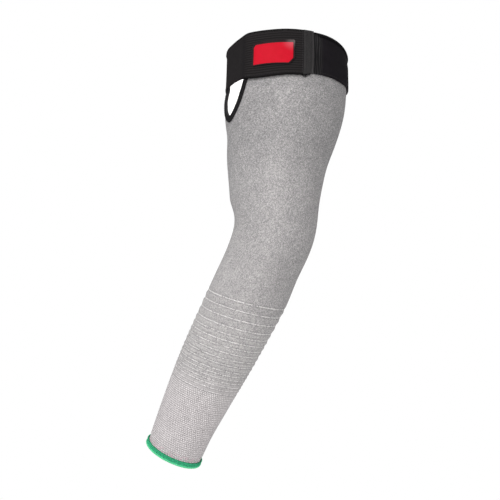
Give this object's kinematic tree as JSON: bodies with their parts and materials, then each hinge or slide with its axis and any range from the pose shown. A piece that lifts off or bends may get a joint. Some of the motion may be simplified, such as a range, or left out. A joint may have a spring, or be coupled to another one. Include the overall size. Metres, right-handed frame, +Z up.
{
  "type": "cut resistant sleeve",
  "caption": "Long knitted arm guard with an open slot and a hook-and-loop strap at the upper arm, and an overlocked wrist edge, in its worn, slightly bent form.",
  "frame": {"origin": "centre of the upper-arm opening, level with the strap's top edge, where the sleeve sits on the arm", "axes": "+Z up along the upper arm, the arm bends in the XZ plane, +X towards the elbow's outer side, the forearm runs towards -X and -Z"},
  "size_m": [0.2489, 0.1294, 0.4285],
  "materials": {
    "knit": "light grey heathered fine-gauge knit, matt, with elastic courses on the forearm and a mock-rib cuff",
    "binding_tape": "black ribbed tape, folded over the cut edge and stitched",
    "elastic_webbing": "black ribbed elastic webbing, brushed loop face behind the tab",
    "end_tape": "dark grey stitched tape across the strap's end",
    "moulded_patch": "matt red moulded rubber with a raised border",
    "overlock_thread": "green overlock thread"
  },
  "bodies": {
    "root": {"knit_sleeve": "knit", "notch_binding": "binding_tape", "arm_band": "elastic_webbing", "strap_end": "end_tape", "label_patch": "moulded_patch", "wrist_hem": "overlock_thread"}
  },
  "joints": []
}
